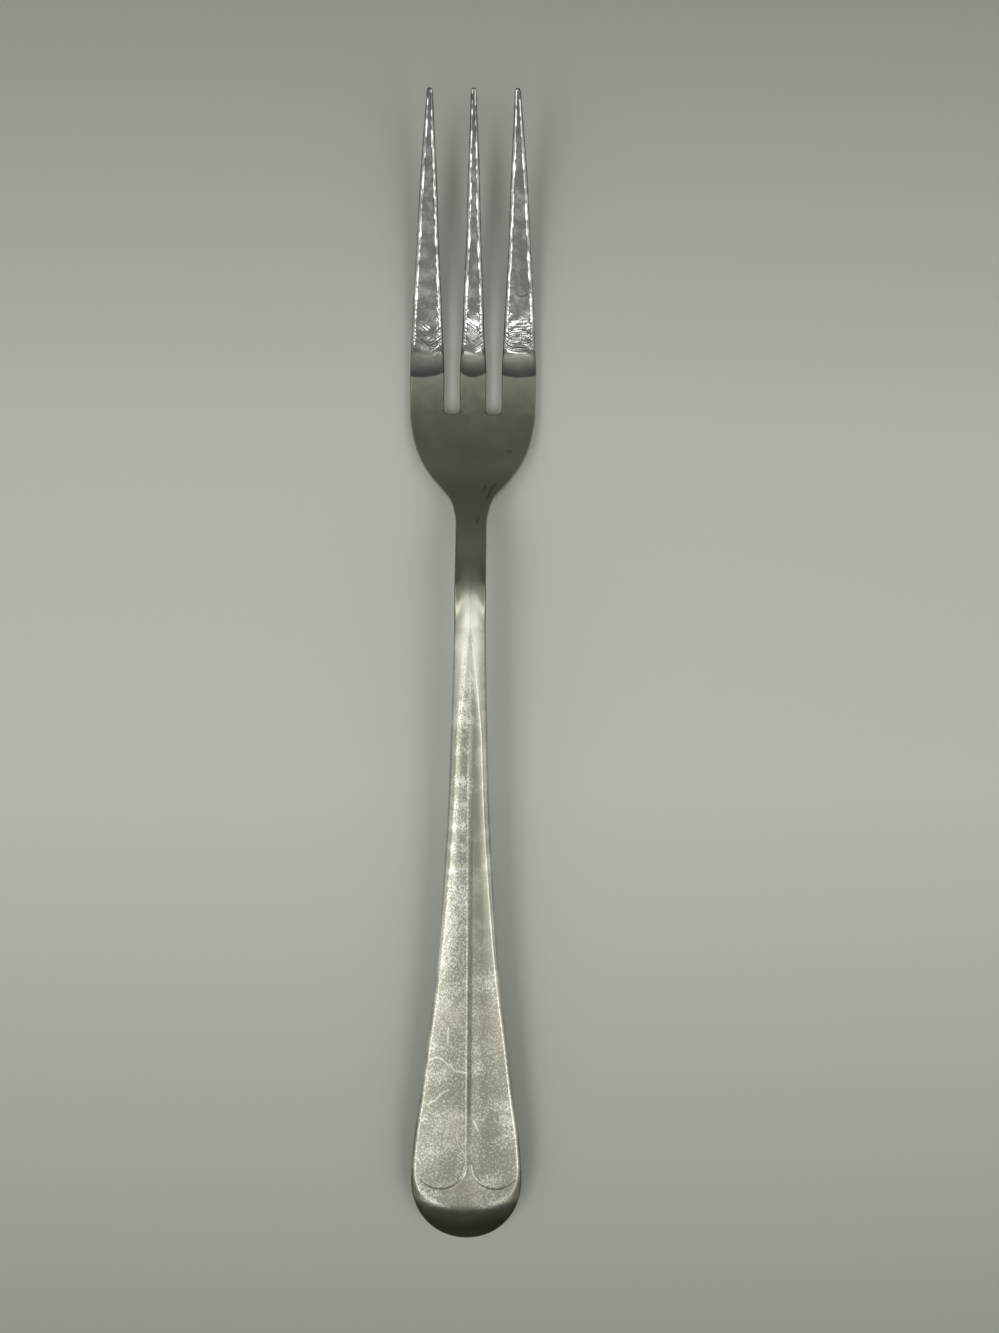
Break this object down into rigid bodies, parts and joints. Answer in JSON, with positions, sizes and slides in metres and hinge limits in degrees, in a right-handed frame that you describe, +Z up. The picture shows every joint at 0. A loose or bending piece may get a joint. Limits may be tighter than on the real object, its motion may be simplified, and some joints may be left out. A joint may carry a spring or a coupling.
{
  "type": "dinner fork",
  "caption": "Stainless steel dinner fork with tapered, upward-curved tines, a narrow arched neck and a flared handle with grooved panels, bevelled edges and a turned-down round end.",
  "frame": {"origin": "centre of the fork's length and width, on the surface that it lies on", "axes": "+Y along the fork towards the tips of the tines, +Z up, away from the surface it lies on, +X to the right seen from above with the tines pointing away"},
  "size_m": [0.0218, 0.195, 0.0154],
  "materials": {
    "tine_steel": "satin, with fine cross ripples left by grinding",
    "satin_steel": "soft satin",
    "handle_steel": "worn satin with fine scratches"
  },
  "bodies": {
    "root": {"tine_left": "tine_steel", "tine_middle": "tine_steel", "tine_right": "tine_steel", "head": "satin_steel", "neck": "satin_steel", "handle": "handle_steel", "handle_end": "handle_steel"}
  },
  "joints": []
}
